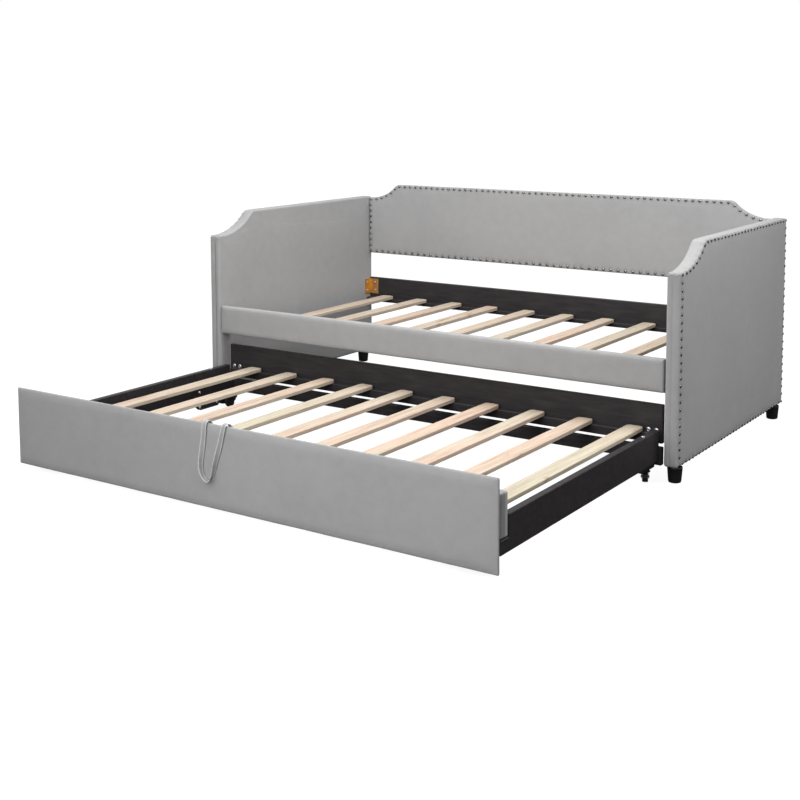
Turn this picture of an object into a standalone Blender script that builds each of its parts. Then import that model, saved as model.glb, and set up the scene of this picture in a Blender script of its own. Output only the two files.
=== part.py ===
"""Upholstered daybed with a roll-out trundle, twin size.

Metres, +Z up. The origin is on the floor under the middle of the bed with its trundle
rolled out: X runs along the bed, -Y is the side where the trundle comes out.
Heights are above the floor. Depths named *_Y are measured from the front face of the
arms, and front_y() turns them into world Y.
"""

import math

import bmesh
import bpy
from mathutils import Euler, Matrix, Vector

# Daybed frame
CLEAR_LENGTH = 1.930          # between the arms, for a 1.905 m mattress
ARM_THICK = 0.055
ARM_DEPTH = 1.0845
ARM_BOTTOM_Z = 0.055
ARM_TOP_Z = 0.795
ARM_NOSE_Z = 0.707            # top of the front edge, under the scallop
ARM_SCALLOP_RADIUS = 0.263
ARM_SCALLOP_START = 0.020     # level run behind the front face
ARM_CREST_RADIUS = 0.025

PANEL_THICK = 0.030
PANEL_BOTTOM_Z = 0.522
PANEL_END_Z = 0.790
PANEL_TOP_Z = 0.855
PANEL_SCALLOP_RADIUS = 0.199
PANEL_SCALLOP_START = 0.010   # level run at each end
PANEL_CREST_RADIUS = 0.006

FRONT_RAIL_THICK = 0.030
FRONT_RAIL_Z = (0.300, 0.419)
BACK_RAIL_THICK = 0.020
BACK_RAIL_Z = (0.295, 0.407)
BACK_RAIL_Y = 1.0616
DECK_LEDGE_Z = (0.298, 0.315)
DECK_SLAT_PITCH = 0.188
DECK_SLAT_SHIFT = 0.0

FOOT_TOP_RADIUS = 0.026
FOOT_BOTTOM_RADIUS = 0.0215
FOOT_INSET = 0.043            # foot centre behind the arm's front and before its rear
FOOT_ROUNDING = 0.004

BRACKET_THICK = 0.003
BRACKET_HEIGHT = 0.070
BRACKET_RAIL_LEG = 0.050
BRACKET_ARM_LEG = 0.040
BRACKET_BOTTOM_Z = 0.331

# Slats and ledges, alike on both frames
SLAT_COUNT = 10
SLAT_WIDTH = 0.059
SLAT_THICK = 0.014
SLAT_CORNER = 0.012
LEDGE_DEPTH = 0.030

# Trundle
TRUNDLE_OUT = 1.058           # fascia face in front of the arms, rolled out
FASCIA_LENGTH = 1.898
FASCIA_THICK = 0.0145
FASCIA_Z = (0.018, 0.287)
TRUNDLE_FRONT_RAIL_THICK = 0.043
TRUNDLE_FRONT_RAIL_Z = (0.112, 0.241)
SIDE_RAIL_OUTER_X = 0.948
SIDE_RAIL_THICK = 0.023
SIDE_RAIL_Z = (0.070, 0.175)
TRUNDLE_BACK_Y = 0.040        # front face of the trundle's back rail
TRUNDLE_BACK_THICK = 0.018
TRUNDLE_BACK_Z = (0.122, 0.2535)
TRUNDLE_LEDGE_Z = (0.130, 0.161)
TRUNDLE_SLAT_PITCH = 0.1838
TRUNDLE_SLAT_SHIFT = 0.030
STRETCHER_HALF = 0.957        # reaches past the side rails
STRETCHER_Y = (0.012, 0.032)
STRETCHER_Z = (0.069, 0.117)
STRETCHER_END_Z = 0.056       # underside of its ends, behind the side rails

# Caster blocks, measured from the end that carries the caster
BLOCK_THICK = 0.018
BLOCK_TOP_Z = 0.125
BLOCK_SEAT_Z = 0.043          # underside over the caster
BLOCK_SEAT_LENGTH = 0.100     # whole length of a short block
BLOCK_KEEL_Z = 0.0285         # underside of a long block's deeper part
BLOCK_KEEL_START = 0.120
BLOCK_KEEL_END = 0.220
BLOCK_NOSE_Z = 0.0455
BLOCK_LENGTH = 0.2385
CASTER_INSET = 0.017          # swivel axis from the block's end
REAR_RIGHT_INSET = 0.055      # the same for the rear right caster
FRONT_BLOCK_INSET = 0.040     # front block's end from the side rail's inner face

WHEEL_RADIUS = 0.019
WHEEL_WIDTH = 0.020
WHEEL_ROUNDING = 0.004
CASTER_TRAIL = 0.014
AXLE_RADIUS = 0.003
AXLE_HEAD_RADIUS = 0.0045
AXLE_HEAD = 0.0015
CHEEK_THICK = 0.0018
CHEEK_CLEARANCE = 0.001
CHEEK_END_RADIUS = 0.0075
CROWN_RADIUS = 0.017
CROWN_THICK = 0.0025
CROWN_TOP_Z = 0.0425
COLLAR_RADIUS = 0.007
STEM_RADIUS = 0.004
STEM_TOP_Z = 0.063

# Pull strap, a flat loop over the fascia
STRAP_WIDTH = 0.017
STRAP_THICK = 0.0024
STRAP_SAMPLES = 72

GAP = 0.0003                  # between pieces that touch
UPHOLSTERY_ROUNDING = 0.008
FASCIA_ROUNDING = 0.006
BOARD_ROUNDING = 0.002
SLAT_ROUNDING = 0.0015
ROUND_SEGMENTS = 32

HALF_CLEAR = CLEAR_LENGTH / 2
RAIL_HALF = HALF_CLEAR - GAP
SIDE_RAIL_INNER_X = SIDE_RAIL_OUTER_X - SIDE_RAIL_THICK
TRUNDLE_INNER_HALF = SIDE_RAIL_INNER_X - GAP
FASCIA_BACK_Y = -TRUNDLE_OUT + FASCIA_THICK
TRUNDLE_FRONT_Y = FASCIA_BACK_Y + GAP + TRUNDLE_FRONT_RAIL_THICK

# The strap's centreline: X along the bed, Y from the fascia's back face, Z above the
# floor, and how far the strap has turned edge on to the fascia (0 flat, 1 edge on).
STRAP_ROUTE = (
    (-0.070, 0.0130, 0.2445, 0.0),
    (-0.072, 0.0090, 0.2650, 0.0),
    (-0.075, 0.0035, 0.2860, 0.0),
    (-0.077, -0.0060, 0.2935, 0.0),
    (-0.079, -0.0160, 0.2895, 0.0),
    (-0.081, -0.0200, 0.2700, 0.05),
    (-0.084, -0.0210, 0.2350, 0.2),
    (-0.089, -0.0235, 0.1950, 0.5),
    (-0.092, -0.0260, 0.1550, 0.8),
    (-0.084, -0.0270, 0.1240, 1.0),
    (-0.060, -0.0270, 0.1080, 1.0),
    (-0.045, -0.0270, 0.1240, 1.0),
    (-0.037, -0.0260, 0.1550, 0.8),
    (-0.026, -0.0235, 0.1950, 0.5),
    (-0.015, -0.0210, 0.2350, 0.2),
    (-0.006, -0.0200, 0.2700, 0.05),
    (-0.002, -0.0160, 0.2895, 0.0),
    (0.002, -0.0060, 0.2935, 0.0),
    (0.005, 0.0035, 0.2860, 0.0),
    (0.008, 0.0090, 0.2650, 0.0),
    (0.009, 0.0130, 0.2445, 0.0),
)


def front_y(depth):
    """World Y of a depth measured from the arms' front face."""
    return (TRUNDLE_OUT - ARM_DEPTH) / 2 + depth


def clear_objects():
    for old in list(bpy.data.objects):
        bpy.data.objects.remove(old, do_unlink=True)


def make_material(name, colour, roughness, metallic=0.0):
    material = bpy.data.materials.new(name)
    material.use_nodes = True
    shader = material.node_tree.nodes["Principled BSDF"]
    shader.inputs["Base Color"].default_value = (*colour, 1.0)
    shader.inputs["Roughness"].default_value = roughness
    shader.inputs["Metallic"].default_value = metallic
    return material


def add_object(name, mesh, material, location=(0, 0, 0), parent=None, turn=(0, 0, 0)):
    piece = bpy.data.objects.new(name, mesh)
    bpy.context.scene.collection.objects.link(piece)
    piece.location = location
    piece.rotation_euler = Euler(turn)
    if parent is not None:
        piece.parent = parent
    if material is not None:
        mesh.materials.clear()
        mesh.materials.append(material)
    return piece


def add_empty(name, location):
    empty = bpy.data.objects.new(name, None)
    bpy.context.scene.collection.objects.link(empty)
    empty.location = location
    return empty


def add_bevel(piece, width, segments):
    bevel = piece.modifiers.new("rounding", "BEVEL")
    bevel.width = width
    bevel.segments = segments
    bevel.limit_method = "ANGLE"
    bevel.angle_limit = math.radians(40)
    return piece


def mesh_from_bmesh(name, bm):
    bmesh.ops.recalc_face_normals(bm, faces=bm.faces)
    mesh = bpy.data.meshes.new(name)
    bm.to_mesh(mesh)
    bm.free()
    return mesh


def box_mesh(name, size):
    bm = bmesh.new()
    bmesh.ops.create_cube(bm, size=1.0)
    bmesh.ops.scale(bm, vec=size, verts=bm.verts)
    return mesh_from_bmesh(name, bm)


def prism_mesh(name, outline, along, thickness):
    """A flat outline pushed from 0 to `thickness` along X, Y or Z."""
    place = {
        "X": lambda u, v, t: (t, u, v),
        "Y": lambda u, v, t: (u, t, v),
        "Z": lambda u, v, t: (u, v, t),
    }[along]
    bm = bmesh.new()
    near = [bm.verts.new(place(u, v, 0.0)) for u, v in outline]
    bm.faces.new(near)
    extruded = bmesh.ops.extrude_face_region(bm, geom=bm.faces[:])
    moved = [item for item in extruded["geom"] if isinstance(item, bmesh.types.BMVert)]
    bmesh.ops.translate(bm, verts=moved, vec=Vector(place(0.0, 0.0, thickness)))
    return mesh_from_bmesh(name, bm)


def cylinder_mesh(name, radius, length, along="Z", top_radius=None):
    bm = bmesh.new()
    bmesh.ops.create_cone(
        bm, cap_ends=True, segments=ROUND_SEGMENTS, depth=length,
        radius1=radius, radius2=radius if top_radius is None else top_radius)
    if along == "X":
        turn = Euler((0, math.pi / 2, 0)).to_matrix()
        bmesh.ops.rotate(bm, verts=bm.verts, matrix=turn)
    return mesh_from_bmesh(name, bm)


def ring_mesh(name, profile):
    """A closed profile of (radius, X) points turned about the X axis."""
    bm = bmesh.new()
    rings = []
    for step in range(ROUND_SEGMENTS):
        angle = 2 * math.pi * step / ROUND_SEGMENTS
        ring = [bm.verts.new((x, r * math.cos(angle), r * math.sin(angle))) for r, x in profile]
        rings.append(ring)
    count = len(profile)
    for step in range(ROUND_SEGMENTS):
        ring, following = rings[step], rings[(step + 1) % ROUND_SEGMENTS]
        for i in range(count):
            j = (i + 1) % count
            bm.faces.new((ring[i], ring[j], following[j], following[i]))
    return mesh_from_bmesh(name, bm)


def shade_round(mesh):
    mesh.shade_smooth()
    mesh.set_sharp_from_angle(angle=math.radians(35))
    return mesh


def combine(name, base, others, operation):
    """Boolean of placed meshes: each entry is (mesh, location)."""
    pieces = []
    for mesh, location in [base] + others:
        pieces.append(add_object("shape", mesh, None, location))
    for operand in pieces[1:]:
        boolean = pieces[0].modifiers.new("boolean", "BOOLEAN")
        boolean.operation = operation
        boolean.solver = "EXACT"
        boolean.object = operand
    graph = bpy.context.evaluated_depsgraph_get()
    result = bpy.data.meshes.new_from_object(pieces[0].evaluated_get(graph))
    result.transform(pieces[0].matrix_world)
    result.name = name
    for piece in pieces:
        bpy.data.objects.remove(piece, do_unlink=True)
    return result


def add_board(name, low, high, material, parent, rounding=BOARD_ROUNDING, segments=1):
    """A box between two world corners, with its origin at its middle."""
    size = [high[i] - low[i] for i in range(3)]
    middle = Vector([(high[i] + low[i]) / 2 for i in range(3)])
    base = parent.location if parent is not None else Vector((0, 0, 0))
    piece = add_object(name, box_mesh(name, size), material, middle - base, parent)
    return add_bevel(piece, rounding, segments)


def arc_points(centre, radius, start, end, steps):
    points = []
    for step in range(steps + 1):
        angle = start + (end - start) * step / steps
        points.append((centre[0] + radius * math.cos(angle), centre[1] + radius * math.sin(angle)))
    return points


def scallop_points(start, low, top, radius, crest):
    """A hollow arc that leaves level at (start, low), then a small crest up to `top`."""
    hollow = (start, low + radius)
    drop = hollow[1] - (top - crest)
    reach = math.sqrt((radius + crest) ** 2 - drop ** 2)
    hollow_end = math.atan2(-drop, reach)
    points = arc_points(hollow, radius, -math.pi / 2, hollow_end, 12)
    points += arc_points((start + reach, top - crest), crest, hollow_end + math.pi, math.pi / 2, 5)
    return points


def arm_mesh():
    outline = [(0.0, ARM_BOTTOM_Z), (0.0, ARM_NOSE_Z)]
    outline += scallop_points(ARM_SCALLOP_START, ARM_NOSE_Z, ARM_TOP_Z,
                              ARM_SCALLOP_RADIUS, ARM_CREST_RADIUS)
    outline += [(ARM_DEPTH, ARM_TOP_Z), (ARM_DEPTH, ARM_BOTTOM_Z)]
    return prism_mesh("arm", outline, "X", ARM_THICK)


def panel_mesh():
    """The back panel: one scalloped end, and the same mirrored."""
    half = scallop_points(PANEL_SCALLOP_START, PANEL_END_Z, PANEL_TOP_Z,
                          PANEL_SCALLOP_RADIUS, PANEL_CREST_RADIUS)
    half = [(0.0, PANEL_BOTTOM_Z), (0.0, PANEL_END_Z)] + half
    left = [(-RAIL_HALF + u, v) for u, v in half]
    right = [(RAIL_HALF - u, v) for u, v in reversed(half)]
    return prism_mesh("back_panel", left + right, "Y", PANEL_THICK)


def slat_mesh(name, length):
    """A slat along Y with rounded corners, its origin at its middle."""
    x = SLAT_WIDTH / 2 - SLAT_CORNER
    y = length / 2 - SLAT_CORNER
    outline = []
    for centre, start in (((x, -y), -90), ((x, y), 0), ((-x, y), 90), ((-x, -y), 180)):
        first = math.radians(start)
        outline += arc_points(centre, SLAT_CORNER, first, first + math.pi / 2, 2)
    bm = bmesh.new()
    bm.faces.new([bm.verts.new((u, v, -SLAT_THICK / 2)) for u, v in outline])
    extruded = bmesh.ops.extrude_face_region(bm, geom=bm.faces[:])
    moved = [item for item in extruded["geom"] if isinstance(item, bmesh.types.BMVert)]
    bmesh.ops.translate(bm, verts=moved, vec=(0, 0, SLAT_THICK))
    return mesh_from_bmesh(name, bm)


def add_slats(prefix, pitch, shift, y_range, ledge_top, material, parent):
    """A row of slats lying on the two ledges; the pieces share one mesh."""
    front, rear = y_range
    mesh = slat_mesh(prefix, rear - front)
    height = ledge_top + GAP + SLAT_THICK / 2
    base = parent.location if parent is not None else Vector((0, 0, 0))
    for index in range(SLAT_COUNT):
        x = shift + (index - (SLAT_COUNT - 1) / 2) * pitch
        place = Vector((x, (front + rear) / 2, height)) - base
        slat = add_object(f"{prefix}_{index + 1:02d}", mesh, material, place, parent)
        add_bevel(slat, SLAT_ROUNDING, 1)


def foot_mesh():
    height = ARM_BOTTOM_Z - GAP
    mesh = cylinder_mesh("foot", FOOT_BOTTOM_RADIUS, height, top_radius=FOOT_TOP_RADIUS)
    for vertex in mesh.vertices:
        vertex.co.z += height / 2
    return shade_round(mesh)


def corner_bracket_mesh(side, toward_rear):
    """An angle bracket in the corner of an arm and a rail, seen from above as an L."""
    arm, rail, thick = BRACKET_ARM_LEG, BRACKET_RAIL_LEG, BRACKET_THICK
    outline = [(0, 0), (rail, 0), (rail, thick), (thick, thick), (thick, arm), (0, arm)]
    depth_sign = -1 if toward_rear else 1
    outline = [(-side * u, depth_sign * v) for u, v in outline]
    return prism_mesh("corner_bracket", outline, "Z", BRACKET_HEIGHT)


def caster_block_mesh(inset, keeled, notched):
    """A block along Y from its caster end, X from 0 to its thickness, with the stem's bore
    that far in. A keeled block is longer and deeper past the caster; a notched one lets
    the stretcher lie on its end."""
    low_top = STRETCHER_Z[0] - GAP
    notch = STRETCHER_Y[1] - STRETCHER_Y[0] + GAP
    outline = [(notch, BLOCK_TOP_Z), (notch, low_top), (0.0, low_top)]
    if not notched:
        outline = [(0.0, BLOCK_TOP_Z)]
    outline += [(0.0, BLOCK_SEAT_Z), (BLOCK_SEAT_LENGTH, BLOCK_SEAT_Z)]
    if keeled:
        outline += [
            (BLOCK_KEEL_START, BLOCK_KEEL_Z),
            (BLOCK_KEEL_END, BLOCK_KEEL_Z),
            (BLOCK_LENGTH, BLOCK_NOSE_Z),
        ]
    outline.append((outline[-1][0], BLOCK_TOP_Z))
    block = prism_mesh("block", outline, "X", BLOCK_THICK)
    depth = STEM_TOP_Z + 2 * GAP - BLOCK_SEAT_Z
    bore = cylinder_mesh("bore", STEM_RADIUS + GAP, 2 * depth)
    place = (BLOCK_THICK / 2, inset, BLOCK_SEAT_Z)
    return combine("caster_block", (block, (0, 0, 0)), [(bore, place)], "DIFFERENCE")


def stretcher_mesh():
    """The stretcher, deeper where its ends pass behind the side rails."""
    half, inner = STRETCHER_HALF, SIDE_RAIL_INNER_X + BOARD_ROUNDING
    bottom, top = STRETCHER_Z
    outline = [(-half, top), (-half, STRETCHER_END_Z), (-inner, STRETCHER_END_Z), (-inner, bottom)]
    outline += [(-x, z) for x, z in reversed(outline)]
    return prism_mesh("stretcher", outline, "Y", STRETCHER_Y[1] - STRETCHER_Y[0])


def side_rail_mesh():
    """A side rail from the fascia to the stretcher, cut away under the front rail's end."""
    start, step = front_y(FASCIA_BACK_Y + GAP), front_y(TRUNDLE_FRONT_Y + GAP)
    end = front_y(STRETCHER_Y[0] - GAP)
    shelf = TRUNDLE_FRONT_RAIL_Z[0] - GAP
    bottom, top = SIDE_RAIL_Z
    outline = [(start, bottom), (end, bottom), (end, top), (step, top), (step, shelf), (start, shelf)]
    return prism_mesh("side_rail", outline, "X", SIDE_RAIL_THICK)


def cheek_mesh():
    """A cheek of the fork: wide under the crown, round about the axle."""
    top = CROWN_TOP_Z - CROWN_THICK / 2 - WHEEL_RADIUS
    outline = [(-CROWN_RADIUS * 0.7, top), (-CROWN_RADIUS * 0.7, top - 0.008)]
    outline += arc_points((CASTER_TRAIL, 0.0), CHEEK_END_RADIUS, math.radians(215),
                          math.radians(375), 8)
    outline += [(CROWN_RADIUS * 0.8, top)]
    return prism_mesh("cheek", outline, "X", CHEEK_THICK)


def fork_mesh():
    """Crown, collar, stem, two cheeks and the axle. Z=0 is the axle's height, the
    swivel axis is X=0, Y=0, and the wheel trails along +Y."""
    crown_top = CROWN_TOP_Z - WHEEL_RADIUS
    collar_top = BLOCK_SEAT_Z - GAP - WHEEL_RADIUS
    stem_top = STEM_TOP_Z - WHEEL_RADIUS
    inner = WHEEL_WIDTH / 2 + CHEEK_CLEARANCE
    outer = inner + CHEEK_THICK
    crown = cylinder_mesh("crown", CROWN_RADIUS, CROWN_THICK)
    collar = cylinder_mesh("collar", COLLAR_RADIUS, collar_top - crown_top + CROWN_THICK)
    stem = cylinder_mesh("stem", STEM_RADIUS, stem_top - crown_top + CROWN_THICK)
    axle = cylinder_mesh("axle", AXLE_RADIUS, 2 * outer, "X")
    head = cylinder_mesh("head", AXLE_HEAD_RADIUS, 2 * AXLE_HEAD, "X")
    cheek = cheek_mesh()
    mesh = combine(
        "caster_fork",
        (crown, (0, 0, crown_top - CROWN_THICK / 2)),
        [
            (collar, (0, 0, (collar_top + crown_top - CROWN_THICK) / 2)),
            (stem, (0, 0, (stem_top + crown_top - CROWN_THICK) / 2)),
            (cheek, (inner, 0, 0)),
            (cheek.copy(), (-outer, 0, 0)),
            (axle, (0, CASTER_TRAIL, 0)),
            (head, (outer, CASTER_TRAIL, 0)),
            (head.copy(), (-outer, CASTER_TRAIL, 0)),
        ],
        "UNION")
    return shade_round(mesh)


def wheel_mesh():
    bore = AXLE_RADIUS + GAP
    half = WHEEL_WIDTH / 2
    inner = WHEEL_RADIUS - WHEEL_ROUNDING
    profile = [(bore, -half)]
    profile += [(inner + WHEEL_ROUNDING * math.sin(a), -half + WHEEL_ROUNDING * (1 - math.cos(a)))
                for a in (0.0, math.pi / 6, math.pi / 3, math.pi / 2)]
    profile += [(inner + WHEEL_ROUNDING * math.sin(a), half - WHEEL_ROUNDING * (1 - math.cos(a)))
                for a in (math.pi / 2, math.pi / 3, math.pi / 6, 0.0)]
    profile += [(bore, half)]
    return shade_round(ring_mesh("caster_wheel", profile))


def smooth_route(route, samples):
    """Evenly spaced points of a Catmull-Rom curve through the route's points."""
    knots = [Vector(point) for point in route]
    knots = [2 * knots[0] - knots[1]] + knots + [2 * knots[-1] - knots[-2]]
    dense = []
    for i in range(1, len(knots) - 2):
        for step in range(24):
            t = step / 24
            a, b, c, d = knots[i - 1:i + 3]
            dense.append(0.5 * (2 * b + (c - a) * t + (2 * a - 5 * b + 4 * c - d) * t ** 2
                                + (3 * b - a - 3 * c + d) * t ** 3))
    dense.append(knots[-2])
    travelled = [0.0]
    for previous, current in zip(dense, dense[1:]):
        travelled.append(travelled[-1] + (current - previous).to_3d().length)
    result = []
    index = 0
    for step in range(samples + 1):
        target = travelled[-1] * step / samples
        while index < len(dense) - 2 and travelled[index + 1] < target:
            index += 1
        share = (target - travelled[index]) / (travelled[index + 1] - travelled[index])
        result.append(dense[index].lerp(dense[index + 1], share))
    return result


def strap_mesh():
    """A flat band swept along the strap's route, turned edge on where it hangs free."""
    route = [Vector((x, front_y(FASCIA_BACK_Y + y), z, turn)) for x, y, z, turn in STRAP_ROUTE]
    points = smooth_route(route, STRAP_SAMPLES)
    bm = bmesh.new()
    rings = []
    for index, point in enumerate(points):
        before = points[max(index - 1, 0)].to_3d()
        after = points[min(index + 1, len(points) - 1)].to_3d()
        tangent = (after - before).normalized()
        lean = math.radians(90) * min(max(point.w, 0.0), 1.0)
        wanted = Vector((math.cos(lean), math.sin(lean), 0.0))
        across = (wanted - tangent * wanted.dot(tangent)).normalized()
        normal = tangent.cross(across)
        ring = []
        for side, face in ((1, 1), (-1, 1), (-1, -1), (1, -1)):
            offset = across * side * STRAP_WIDTH / 2 + normal * face * STRAP_THICK / 2
            ring.append(bm.verts.new(point.to_3d() + offset))
        rings.append(ring)
    for ring, following in zip(rings, rings[1:]):
        for i in range(4):
            j = (i + 1) % 4
            bm.faces.new((ring[i], ring[j], following[j], following[i]))
    bm.faces.new(rings[0])
    bm.faces.new(rings[-1])
    return mesh_from_bmesh("pull_strap", bm)


def build_daybed(fabric, black, pine, plastic, zinc):
    arm = arm_mesh()
    for name, x in (("arm_left", -HALF_CLEAR - ARM_THICK), ("arm_right", HALF_CLEAR)):
        piece = add_object(name, arm, fabric, (x, front_y(0), 0))
        add_bevel(piece, UPHOLSTERY_ROUNDING, 3)
    panel_y = front_y(ARM_DEPTH - PANEL_THICK)
    panel = add_object("back_panel", panel_mesh(), fabric, (0, panel_y, 0))
    add_bevel(panel, UPHOLSTERY_ROUNDING / 2, 2)

    add_board("front_rail", (-RAIL_HALF, front_y(0), FRONT_RAIL_Z[0]),
              (RAIL_HALF, front_y(FRONT_RAIL_THICK), FRONT_RAIL_Z[1]),
              fabric, None, UPHOLSTERY_ROUNDING, 3)
    add_board("back_rail", (-RAIL_HALF, front_y(BACK_RAIL_Y), BACK_RAIL_Z[0]),
              (RAIL_HALF, front_y(BACK_RAIL_Y + BACK_RAIL_THICK), BACK_RAIL_Z[1]), black, None)

    front_ledge = FRONT_RAIL_THICK + GAP
    back_ledge = BACK_RAIL_Y - GAP - LEDGE_DEPTH
    for name, start in (("front_ledge", front_ledge), ("back_ledge", back_ledge)):
        add_board(name, (-RAIL_HALF, front_y(start), DECK_LEDGE_Z[0]),
                  (RAIL_HALF, front_y(start + LEDGE_DEPTH), DECK_LEDGE_Z[1]), black, None)
    slat_range = (front_y(front_ledge + 0.004), front_y(BACK_RAIL_Y - 0.014))
    add_slats("deck_slat", DECK_SLAT_PITCH, DECK_SLAT_SHIFT, slat_range, DECK_LEDGE_Z[1], pine, None)

    foot = foot_mesh()
    foot_x = HALF_CLEAR + ARM_THICK / 2
    for row, y in (("front", front_y(FOOT_INSET)), ("rear", front_y(ARM_DEPTH - FOOT_INSET))):
        for side, x in (("left", -foot_x), ("right", foot_x)):
            piece = add_object(f"foot_{row}_{side}", foot, plastic, (x, y, 0))
            add_bevel(piece, FOOT_ROUNDING, 2)

    rail_faces = (("front", front_y(FRONT_RAIL_THICK + GAP), False),
                  ("rear", front_y(BACK_RAIL_Y - GAP), True))
    for row, y, toward_rear in rail_faces:
        for side, sign in (("left", -1), ("right", 1)):
            mesh = corner_bracket_mesh(sign, toward_rear)
            add_object(f"corner_bracket_{row}_{side}", mesh, zinc, (sign * RAIL_HALF, y, BRACKET_BOTTOM_Z))


def build_trundle_frame(fabric, black, pine, webbing, slide):
    add_board("fascia", (-FASCIA_LENGTH / 2, front_y(-TRUNDLE_OUT), FASCIA_Z[0]),
              (FASCIA_LENGTH / 2, front_y(FASCIA_BACK_Y), FASCIA_Z[1]),
              fabric, slide, FASCIA_ROUNDING, 3)
    add_board("trundle_front_rail",
              (-FASCIA_LENGTH / 2, front_y(FASCIA_BACK_Y + GAP), TRUNDLE_FRONT_RAIL_Z[0]),
              (FASCIA_LENGTH / 2, front_y(TRUNDLE_FRONT_Y), TRUNDLE_FRONT_RAIL_Z[1]),
              fabric, slide, UPHOLSTERY_ROUNDING, 3)
    rail = side_rail_mesh()
    for side, x in (("left", -SIDE_RAIL_OUTER_X), ("right", SIDE_RAIL_INNER_X)):
        piece = add_object(f"trundle_side_rail_{side}", rail, black, Vector((x, 0, 0)) - slide.location,
                           slide)
        add_bevel(piece, BOARD_ROUNDING, 1)
    add_board("trundle_back_rail", (-SIDE_RAIL_OUTER_X, front_y(TRUNDLE_BACK_Y), TRUNDLE_BACK_Z[0]),
              (SIDE_RAIL_OUTER_X, front_y(TRUNDLE_BACK_Y + TRUNDLE_BACK_THICK), TRUNDLE_BACK_Z[1]),
              black, slide)
    half = TRUNDLE_INNER_HALF
    rail_start, rail_end = front_y(TRUNDLE_FRONT_Y + GAP), front_y(TRUNDLE_BACK_Y - GAP)
    for name, start in (("trundle_front_ledge", rail_start), ("trundle_back_ledge", rail_end - LEDGE_DEPTH)):
        add_board(name, (-half, start, TRUNDLE_LEDGE_Z[0]),
                  (half, start + LEDGE_DEPTH, TRUNDLE_LEDGE_Z[1]), black, slide)
    place = Vector((0, front_y(STRETCHER_Y[0]), 0)) - slide.location
    add_bevel(add_object("trundle_stretcher", stretcher_mesh(), black, place, slide), BOARD_ROUNDING, 1)
    slat_range = (rail_start + 0.004, rail_end - 0.010)
    add_slats("trundle_slat", TRUNDLE_SLAT_PITCH, TRUNDLE_SLAT_SHIFT, slat_range,
              TRUNDLE_LEDGE_Z[1], pine, slide)
    add_object("pull_strap", strap_mesh(), webbing, -slide.location, slide)


def build_casters(black, plastic, steel, slide):
    fork = fork_mesh()
    wheel = wheel_mesh()
    behind_rail, rear = front_y(TRUNDLE_FRONT_Y + GAP), front_y(STRETCHER_Y[1])
    side = TRUNDLE_INNER_HALF
    inner = side - FRONT_BLOCK_INSET
    # name, block's inset, keel and notch, its outer corner and turn, the wheel's heading
    corners = (
        ("front_left", CASTER_INSET, False, False, (-inner, behind_rail + BLOCK_THICK), -90, 25),
        ("front_right", CASTER_INSET, False, False, (inner, behind_rail), 90, -20),
        ("rear_left", CASTER_INSET, True, True, (BLOCK_THICK - side, rear), 180, 131),
        ("rear_right", REAR_RIGHT_INSET, False, True, (side, rear), 180, 23),
    )
    for name, inset, keeled, notched, (x, y), turn, heading in corners:
        block = caster_block_mesh(inset, keeled, notched)
        corner = Vector((x, y, 0)) - slide.location
        turning = Matrix.Rotation(math.radians(turn), 3, "Z")
        add_object(f"caster_block_{name}", block, black, corner, slide, (0, 0, math.radians(turn)))
        axis = corner + turning @ Vector((BLOCK_THICK / 2, inset, WHEEL_RADIUS))
        angle = math.radians(heading)
        add_object(f"caster_fork_{name}", fork, steel, axis, slide, (0, 0, angle))
        hub = axis + Vector((-math.sin(angle), math.cos(angle), 0)) * CASTER_TRAIL
        add_object(f"caster_wheel_{name}", wheel, plastic, hub, slide, (0, 0, angle))


def main():
    clear_objects()
    fabric = make_material("upholstery", (0.36, 0.36, 0.37), 0.85)
    black = make_material("black_wood", (0.025, 0.024, 0.026), 0.55)
    pine = make_material("pine", (0.72, 0.56, 0.42), 0.6)
    plastic = make_material("black_plastic", (0.012, 0.012, 0.013), 0.4)
    zinc = make_material("yellow_zinc", (0.72, 0.48, 0.16), 0.35, 1.0)
    steel = make_material("black_steel", (0.05, 0.05, 0.055), 0.35, 0.9)
    webbing = make_material("strap", (0.42, 0.42, 0.43), 0.8)
    slide = add_empty("trundle_slide", (0, front_y(-TRUNDLE_OUT), 0))
    build_daybed(fabric, black, pine, plastic, zinc)
    build_trundle_frame(fabric, black, pine, webbing, slide)
    build_casters(black, plastic, steel, slide)


main()
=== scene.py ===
"""Looks of the upholstered daybed with its roll-out trundle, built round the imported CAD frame.

Metres, +Z up, in the row frame: X runs along the bed and -Y is the side where the trundle
comes out.
"""

import math
import random

import bmesh
import bpy
import numpy as np
from mathutils import Matrix, Vector, noise


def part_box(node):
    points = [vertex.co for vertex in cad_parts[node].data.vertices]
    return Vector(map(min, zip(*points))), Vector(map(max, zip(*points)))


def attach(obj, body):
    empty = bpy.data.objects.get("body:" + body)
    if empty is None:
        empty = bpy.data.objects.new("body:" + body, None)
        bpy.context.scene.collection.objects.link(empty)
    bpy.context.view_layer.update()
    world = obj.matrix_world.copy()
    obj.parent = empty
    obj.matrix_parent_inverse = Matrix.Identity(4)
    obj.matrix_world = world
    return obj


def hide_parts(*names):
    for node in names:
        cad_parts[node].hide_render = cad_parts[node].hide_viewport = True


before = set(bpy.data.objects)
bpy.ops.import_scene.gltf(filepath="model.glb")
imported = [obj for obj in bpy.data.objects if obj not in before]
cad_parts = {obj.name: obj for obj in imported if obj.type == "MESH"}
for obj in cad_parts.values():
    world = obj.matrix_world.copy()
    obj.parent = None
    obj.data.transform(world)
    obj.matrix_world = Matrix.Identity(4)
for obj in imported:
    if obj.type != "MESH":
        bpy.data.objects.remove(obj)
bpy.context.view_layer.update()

SCENE = bpy.context.scene


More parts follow.
